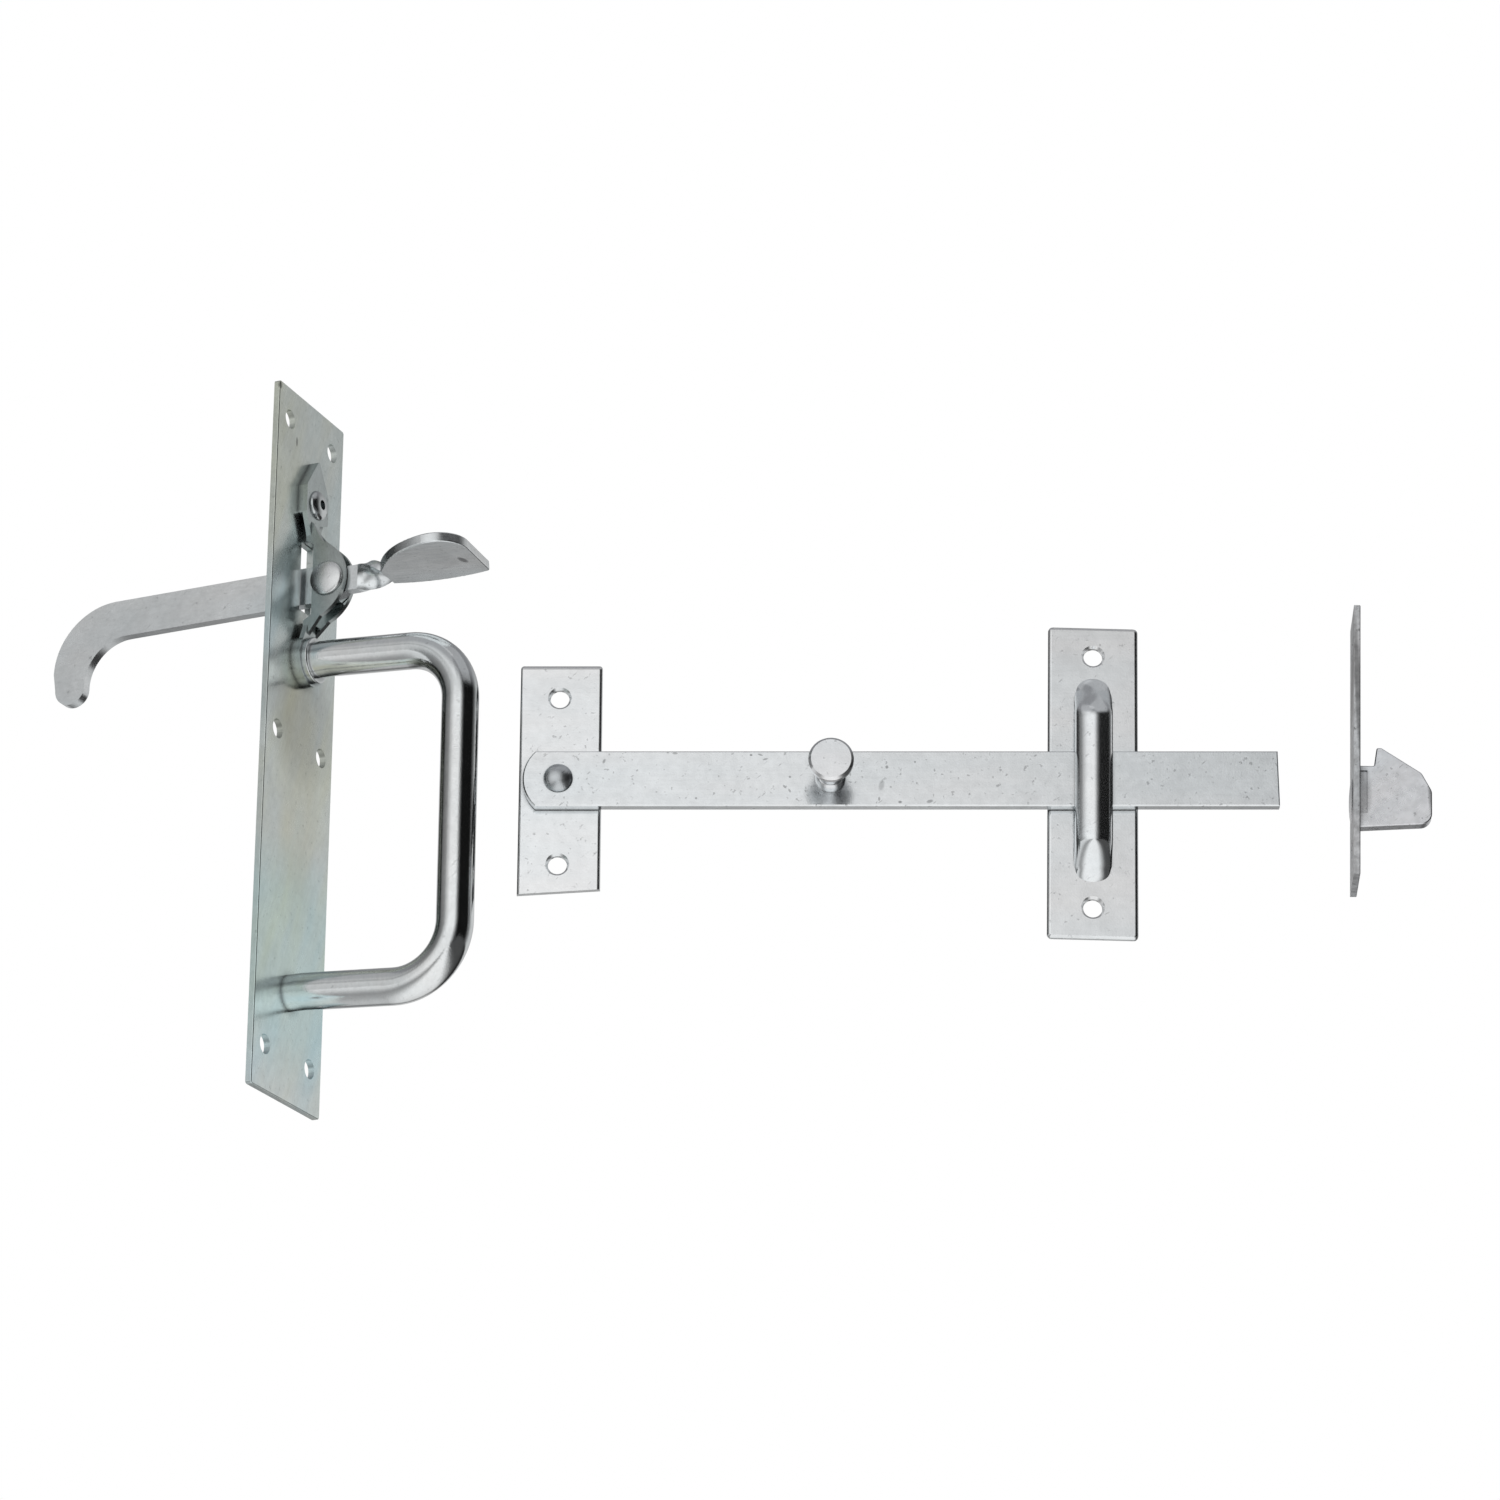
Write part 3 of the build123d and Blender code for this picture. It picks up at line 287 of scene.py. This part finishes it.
def zinc(name, tone, gloss, cloud, specks, lines, grain, tints=ZINC, turn=ALONG_BAR, mottle=0.05,
         marks_and_shade=(), reach=0.0022):
    """Bright zinc plate.

    Base colour is the tone times soft clouds, patches that pass through the tints, a fine mottle,
    dark specks, short scuffs and fine drawn lines. Roughness follows the clouds and lines, and the
    bump is a shallow waviness with a fine grain. Single dark ovals, (centre, half lengths, turn,
    depth), are nicks and tint patches, and painted shade where they stand for shadows and dark
    edges.
    Painted crevice shade: an ambient occlusion node darkens the base colour in crevices narrower
    than reach, standing in for the shade that falls there.
    """
    material = bpy.data.materials.new(name)
    tree, shader, _ = tree_of(material)
    shader.inputs["Metallic"].default_value = 1.0
    plain = object_coordinates(tree)
    clouds = noise(tree, plain, CLOUD_SCALE, 5.0, 0.6)
    dull = tuple(share * (1 - cloud) for share in tone)
    bright = tuple(share * (1 + cloud / 2) for share in tone)
    colour = ramp(tree, clouds, (0.30, dull), (0.70, bright))
    patches = noise(tree, object_coordinates(tree, turn, PATCH_STRETCH), 1.0, 3.0)
    steps = [PATCH_START + PATCH_RUN * step / (len(tints) - 1) for step in range(len(tints))]
    colour = multiplied(tree, colour, ramp(tree, patches, *zip(steps, tints)))
    blotches = noise(tree, plain, MOTTLE_SCALE, 3.0)
    colour = multiplied(tree, colour, ramp(tree, blotches, (0.35, 1.0 - mottle), (0.65, 1.0)))
    # Dark ovals: nicks and tint patches, and painted shade where they stand for shadows and dark
    # edges
    for oval in marks_and_shade:
        colour = multiplied(tree, colour, dark_oval(tree, *oval))
    spots = noise(tree, plain, SPECK_SCALE, 2.0)
    colour = multiplied(tree, colour, ramp(tree, spots, (0.66, 1.0), (0.73, 1.0 - specks)))
    scuffed = object_coordinates(tree, SCUFF_TURN, SCUFF_STRETCH, SCUFF_SHIFT)
    scuffs = noise(tree, scuffed, 1.0, 2.0)
    colour = multiplied(tree, colour, ramp(tree, scuffs, (0.68, 1.0), (0.76, 1.0 - specks)))
    streaks = noise(tree, object_coordinates(tree, turn, LINE_STRETCH), 1.0, 3.0)
    colour = multiplied(tree, colour, ramp(tree, streaks, (0.3, 1.0 - lines), (0.7, 1.0)))
    # Painted shade: ambient occlusion darkens the colour in crevices, where shade falls
    crevice_shade = tree.nodes.new("ShaderNodeAmbientOcclusion")
    crevice_shade.samples = CREVICE_SHADE_SAMPLES
    crevice_shade.inputs["Distance"].default_value = reach
    colour = multiplied(tree, colour, ramp(tree, crevice_shade.outputs["AO"], *CREVICE_PAINTED_SHADE))
    tree.links.new(colour, shader.inputs["Base Color"])
    rough = mixed(tree, LINE_SHARE, clouds, streaks)
    roughness = ramp(tree, rough, (0.3, gloss * ROUGH_LEAST), (0.7, gloss * ROUGH_MOST))
    tree.links.new(roughness, shader.inputs["Roughness"])
    wavy = bumped(tree, noise(tree, plain, WAVE_SCALE, 2.0), WAVE_STRENGTH, WAVE_DEPTH)
    fine = bumped(tree, noise(tree, plain, GRAIN_SCALE, 3.0), grain, GRAIN_DEPTH, wavy)
    tree.links.new(fine, shader.inputs["Normal"])
    return material


# Nicks on the bar's face, in millimetres and degrees: x, z, half lengths, lean, depth
BAR_FACE = -0.0052
BAR_NICKS = (
    (12.5, 5.0, 0.45, 0.85, 25, 0.45), (31.9, 7.3, 0.90, 0.40, 0, 0.40),
    (37.7, -5.8, 0.40, 0.40, 0, 0.45), (52.7, 6.8, 0.45, 0.40, 0, 0.55),
    (55.2, 6.9, 0.90, 0.32, 20, 0.45), (56.6, 5.6, 0.90, 0.32, -15, 0.45),
    (63.3, 0.4, 0.40, 0.40, 0, 0.50), (61.8, -2.4, 0.75, 0.35, 50, 0.40),
    (63.2, -3.6, 0.70, 0.35, 60, 0.40), (89.8, 3.3, 0.50, 0.60, 0, 0.50),
    (88.3, -2.0, 0.90, 1.90, 12, 0.28), (87.6, -6.0, 0.35, 0.70, 0, 0.45),
    (93.3, -6.9, 0.60, 0.45, 0, 0.55), (101.4, -6.7, 1.10, 0.55, -15, 0.45),
    (97.5, 4.8, 0.38, 0.38, 0, 0.45),
)
BAR_MARKS = [
    ((x / 1000, BAR_FACE, z / 1000), (a / 1000, 0.001, b / 1000), (0.0, radians(lean), 0.0), depth)
    for x, z, a, b, lean, depth in BAR_NICKS
]
# One nick under the thumb plate
THUMB_MARKS = [
    ((-0.0267, -0.0165, 0.0601), (0.0010, 0.0026, 0.001), (0.0, 0.0, radians(-35)), 0.60),
]
# The cheek is duller round the pivot than on its leaf
CHEEK_MARKS = [(above_middle("lever_pivot_rivet", 0.0), (0.024, 0.024, 0.024), ALONG_BAR, 0.20)]
# The handle plate has painted shade below the upper arm, standing in for the arm's shadow on it. It
# is duller towards its top, with a straw patch at its middle, a blue one towards its foot and two
# nicks near its top
PLATE_MARKS_AND_SHADE = [
    # Painted shadow of the upper arm on the plate
    (above_middle("arm_washer", -0.016), (0.022, 0.022, 0.022), ALONG_BAR, 0.22),
    (above_middle("handle_plate", 0.10), (0.20, 0.20, 0.20), ALONG_BAR, 0.105),
    (above_middle("handle_plate", -0.012), (0.045, 0.012, 0.050), ON_PLATE, (0.03, 0.06, 0.13)),
    (above_middle("handle_plate", -0.064), (0.060, 0.060, 0.036), ALONG_BAR, (0.12, 0.01, 0.00)),
    ((-0.0747, -0.0075, 0.1001), (0.001, 0.0006, 0.0017), ON_PLATE, 0.55),
    ((-0.0787, -0.0171, 0.1132), (0.001, 0.0010, 0.0013), ON_PLATE, 0.60),
]
# Painted shade strips on the catch: a painted shadow on the hook beside its plate, and painted
# shade along its nose and along the plate's front edge, which lies short of the plate's box because
# the plate stands a little turned
FRONT_EDGE_SHORT = 0.0037
SHADE_STRIP_OFFSET = 0.0006
(_, plate_front, _), (plate_right, _, _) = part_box("catch_plate")
(_, hook_front, _), (nose, _, _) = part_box("catch_hook")
plate_level = middle_of("catch_plate")[2]
hook_level = middle_of("catch_hook")[2]
shade_strip = plate_right - FRONT_EDGE_SHORT + SHADE_STRIP_OFFSET
# Painted shadow on the hook beside the plate, and painted shade along the hook's nose
HOOK_PAINTED_SHADE = [
    ((shade_strip, hook_front, hook_level - 0.001), (0.0036, 0.02, 0.0105), ALONG_BAR, 0.42),
    ((nose, hook_front, hook_level - 0.003), (0.0016, 0.02, 0.0085), ALONG_BAR, 0.55),
]
# Painted shade along the catch plate's front edge
CATCH_PLATE_PAINTED_SHADE = [
    ((shade_strip, plate_front, plate_level + 0.012), (0.0012, 0.02, 0.028), ALONG_BAR, 0.52),
    ((shade_strip, plate_front, plate_level - 0.022), (0.0012, 0.02, 0.018), ALONG_BAR, 0.45),
]

# Name, tone, gloss, cloud, specks, lines, grain, and what differs from the plain zinc
finishes = {
    "handle_plate": zinc("handle_plate_zinc", (0.86, 0.92, 0.89), 0.24, 0.12, 0.20, 0.10, 0.03,
                         PASSIVATED, UP_PLATE, mottle=0.06, marks_and_shade=PLATE_MARKS_AND_SHADE, reach=0.005),
    "near_cheek_plate": zinc("cheek_zinc", (0.63, 0.68, 0.67), 0.22, 0.18, 0.30, 0.10, 0.05,
                             turn=UP_PLATE, marks_and_shade=CHEEK_MARKS),
    # The far cheek is a darker copy of the near cheek's zinc: its lower tone is painted shade
    "far_cheek_plate": zinc("far_cheek_shaded_zinc", (0.58, 0.62, 0.61), 0.22, 0.18, 0.30, 0.10, 0.05,
                            turn=UP_PLATE),
    "arm_washer": zinc("washer_zinc", (0.76, 0.78, 0.78), 0.15, 0.12, 0.25, 0.06, 0.04,
                       turn=UP_PLATE),
    "leaf_rivet": zinc("leaf_rivet_zinc", (0.74, 0.76, 0.76), 0.16, 0.12, 0.30, 0.05, 0.05,
                       turn=UP_PLATE),
    "lever_pivot_rivet": zinc("pivot_rivet_zinc", (0.88, 0.89, 0.89), 0.26, 0.10, 0.25, 0.05, 0.06,
                              turn=UP_PLATE),
    "thumb_lever": zinc("lever_zinc", (0.97, 0.985, 0.99), 0.24, 0.10, 0.22, 0.08, 0.05,
                        marks_and_shade=THUMB_MARKS),
    "pull_handle": zinc("grip_zinc", (0.87, 0.88, 0.88), 0.05, 0.05, 0.12, 0.05, 0.11,
                        turn=UP_PLATE),
    "pivot_plate": zinc("pivot_plate_zinc", (0.97, 0.975, 0.98), 0.18, 0.08, 0.30, 0.05, 0.06),
    "latch_bar": zinc("latch_bar_zinc", (0.96, 0.965, 0.97), 0.20, 0.08, 0.36, 0.07, 0.06,
                      mottle=0.07, marks_and_shade=BAR_MARKS),
    "bar_pivot_rivet": zinc("bar_rivet_zinc", (0.66, 0.67, 0.68), 0.26, 0.16, 0.35, 0.05, 0.14),
    "bar_knob": zinc("knob_zinc", (0.93, 0.93, 0.94), 0.18, 0.12, 0.30, 0.06, 0.06),
    "keeper_plate": zinc("keeper_zinc", (0.93, 0.935, 0.94), 0.17, 0.09, 0.28, 0.05, 0.05),
    "catch_plate": zinc("catch_plate_zinc", (0.94, 0.94, 0.95), 0.38, 0.25, 0.45, 0.15, 0.20,
                        turn=ACROSS_CATCH, mottle=0.35, marks_and_shade=CATCH_PLATE_PAINTED_SHADE),
    "catch_hook": zinc("hook_zinc", (0.93, 0.93, 0.95), 0.28, 0.12, 0.35, 0.08, 0.12,
                       turn=ACROSS_CATCH, mottle=0.14, marks_and_shade=HOOK_PAINTED_SHADE),
}
crown_finish = zinc("crown_zinc", (0.97, 0.975, 0.98), 0.15, 0.06, 0.22, 0.05, 0.05, turn=UP_PLATE)
for name, piece in nodes.items():
    for place in piece.material_slots:
        place.material = finishes[name]


def bridge_crown():
    """Round back of the keeper's bridge, with its soft ends, carried up the keeper.

    At height t the section is a half ellipse, u = -w cos a and n = e(t) + (h(t) - e(t)) sin a for a
    from 0 to pi, closed underneath. The crown h runs level and falls to the plate by a smooth step
    at each end, longer at the top; the edge e runs level and then falls with the ramp's slope.
    """
    middle = middle_of("keeper_plate")
    foot = np.array((middle[0], 0.0, middle[2]))
    up = np.array((sin(KEEPER_TILT), 0.0, cos(KEEPER_TILT)))
    across = np.array((cos(KEEPER_TILT), 0.0, -sin(KEEPER_TILT)))
    out = np.array((0.0, -1.0, 0.0))
    t = np.linspace(-CROWN_BOTTOM[1], CROWN_TOP[1], CROWN_ROWS)
    start = np.where(t > 0, CROWN_TOP[0], CROWN_BOTTOM[0])
    end = np.where(t > 0, CROWN_TOP[1], CROWN_BOTTOM[1])
    step = np.clip((end - np.abs(t)) / (end - start), 0.0, 1.0)
    crown = CROWN_FOOT + (CROWN_HEIGHT - CROWN_FOOT) * step * step * (3 - 2 * step)
    past_level = (np.abs(t) - CROWN_EDGE_LEVEL) / CROWN_EDGE_SOFTNESS
    fall = CROWN_EDGE_SOFTNESS * np.log1p(np.exp(past_level))
    edge = np.maximum(CROWN_EDGE - CROWN_EDGE_SLOPE * fall, CROWN_EDGE_LOWEST)
    angle = np.linspace(0.0, pi, CROWN_ARC_POINTS)
    underside = np.linspace(1.0, -1.0, CROWN_UNDERSIDE_POINTS + 2)[1:-1]
    u = np.concatenate((-np.cos(angle), underside)) * CROWN_WIDTH / 2
    lift = np.concatenate((np.sin(angle), np.zeros(CROWN_UNDERSIDE_POINTS)))
    n = edge[:, None] + np.maximum(crown - edge, 0.0)[:, None] * lift[None, :]
    points = foot + up * t[:, None, None] + across * u[None, :, None] + out * n[:, :, None]
    rows, columns = n.shape
    row_start = np.arange(rows - 1)[:, None] * columns
    first = row_start + np.arange(columns)[None, :]
    beside = row_start + (np.arange(columns) + 1)[None, :] % columns
    sides = np.stack((first, beside, beside + columns, first + columns), axis=-1).reshape(-1, 4)
    ends = [list(range(columns))[::-1], list(range((rows - 1) * columns, rows * columns))]
    mesh = bpy.data.meshes.new("bridge_crown")
    mesh.from_pydata(points.reshape(-1, 3).tolist(), [], sides.tolist() + ends)
    mesh.polygons.foreach_set("use_smooth", np.ones(len(mesh.polygons), dtype=bool))
    mesh.set_sharp_from_angle(angle=CROWN_SHARP_ANGLE)
    mesh.materials.append(crown_finish)
    piece = bpy.data.objects.new("bridge_crown", mesh)
    scene.collection.objects.link(piece)
    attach(piece, "fixed_set")


def pale_room():
    """World that is white to the camera, and to the metal a pale room with dark sides."""
    world = bpy.data.worlds.new("pale_room")
    scene.world = world
    world.use_nodes = True
    tree = world.node_tree
    tree.nodes.clear()
    output = tree.nodes.new("ShaderNodeOutputWorld")
    background = tree.nodes.new("ShaderNodeBackground")
    background.inputs["Strength"].default_value = 1.0
    tree.links.new(background.outputs["Background"], output.inputs["Surface"])
    ray = tree.nodes.new("ShaderNodeLightPath")
    direction = tree.nodes.new("ShaderNodeTexCoord")
    axes = tree.nodes.new("ShaderNodeSeparateXYZ")
    tree.links.new(direction.outputs["Generated"], axes.inputs["Vector"])
    forward = calculated(tree, "MULTIPLY", axes.outputs["Y"], -1.0)
    bearing = calculated(tree, "ARCTAN2", axes.outputs["X"], forward)
    turn_share = calculated(tree, "MULTIPLY_ADD", bearing, 1 / (2 * pi), 0.5)
    by_bearing = (((angle + 180) / 360, level) for angle, level in ROOM_BY_BEARING)
    around = ramp(tree, turn_share, *by_bearing)
    room = multiplied(tree, around, ramp(tree, axes.outputs["Z"], *ROOM_BY_HEIGHT))
    room = mixed(tree, ramp(tree, axes.outputs["Z"], *OVERHEAD_FADE), room, OVERHEAD)
    seen = mixed(tree, ray.outputs["Is Glossy Ray"], ROOM_DIFFUSE, room)
    seen = mixed(tree, ray.outputs["Is Transmission Ray"], seen, WHITE)
    seen = mixed(tree, ray.outputs["Is Camera Ray"], seen, WHITE)
    tree.links.new(seen, background.inputs["Color"])


def floor_paper():
    """Pale paper that pales to white towards the floor's edges; the metal sees it shaded."""
    paper = bpy.data.materials.new("floor_paper")
    tree, shader, output = tree_of(paper)
    shader.inputs["Roughness"].default_value = 0.9
    fibres = noise(tree, object_coordinates(tree), 3.0)
    tree.links.new(ramp(tree, fibres, (0.3, 0.90), (0.7, 0.93)), shader.inputs["Base Color"])
    place = tree.nodes.new("ShaderNodeSeparateXYZ")
    tree.links.new(object_coordinates(tree), place.inputs["Vector"])

    def along(axis, levels):
        """Grey run through (metres, level) pairs along one axis of the floor."""
        share = calculated(tree, "MULTIPLY_ADD", place.outputs[axis], 1 / FLOOR_SIZE, 0.5)
        return ramp(tree, share, *((metres / FLOOR_SIZE + 0.5, level) for metres, level in levels))

    mirrored = glow(tree, multiplied(tree, along("Y", FLOOR_BY_DEPTH), along("X", FLOOR_BY_SIDE)))
    ray = tree.nodes.new("ShaderNodeLightPath")
    sheet = mixed_shader(tree, ray.outputs["Is Glossy Ray"], shader.outputs["BSDF"], mirrored)
    from_middle = tree.nodes.new("ShaderNodeVectorMath")
    from_middle.operation = "LENGTH"
    flat = object_coordinates(tree, stretch=(2 / FLOOR_SIZE, 2 / FLOOR_SIZE, 0.0))
    tree.links.new(flat, from_middle.inputs[0])
    paling = ramp(tree, from_middle.outputs["Value"], *FLOOR_PALING)
    paling = calculated(tree, "MULTIPLY", paling, ray.outputs["Is Camera Ray"])
    sheet = mixed_shader(tree, paling, sheet, glow(tree, WHITE))
    tree.links.new(sheet, output.inputs["Surface"])
    return paper


def pale_floor():
    """Square floor, far below the latch."""
    mesh = bpy.data.meshes.new("floor")
    half = FLOOR_SIZE / 2
    corners = ((-half, -half), (half, -half), (half, half), (-half, half))
    mesh.from_pydata([(x, y, FLOOR_Z) for x, y in corners], [], [(0, 1, 2, 3)])
    mesh.materials.append(floor_paper())
    floor = bpy.data.objects.new("floor", mesh)
    scene.collection.objects.link(floor)


def soft_lamp(name, place):
    """Square area lamp at place, facing the latch."""
    lamp = bpy.data.lights.new(name, "AREA")
    lamp.size = LAMP_SIZE
    lamp.energy = LAMP_POWER
    stand = bpy.data.objects.new(name, lamp)
    stand.location = place
    stand.rotation_euler = (AIM - Vector(place)).to_track_quat("-Z", "Y").to_euler()
    scene.collection.objects.link(stand)


def photo_camera():
    """Camera at the photograph's place, with its lens."""
    lens = bpy.data.cameras.new("photo_camera")
    lens.sensor_width = SENSOR_MM
    lens.lens = SENSOR_MM * LENS_PIXELS / PHOTO_PIXELS
    camera = bpy.data.objects.new("photo_camera", lens)
    looking = Vector((0.0, cos(CAMERA_RISE), sin(CAMERA_RISE)))
    camera.location = AIM - looking * CAMERA_DISTANCE
    camera.rotation_euler = (radians(90) + CAMERA_RISE, 0.0, 0.0)
    scene.collection.objects.link(camera)
    scene.camera = camera


bridge_crown()
pale_room()
pale_floor()
soft_lamp("key_lamp", KEY_PLACE)
soft_lamp("fill_lamp", FILL_PLACE)
photo_camera()

scene.view_settings.view_transform = "Standard"
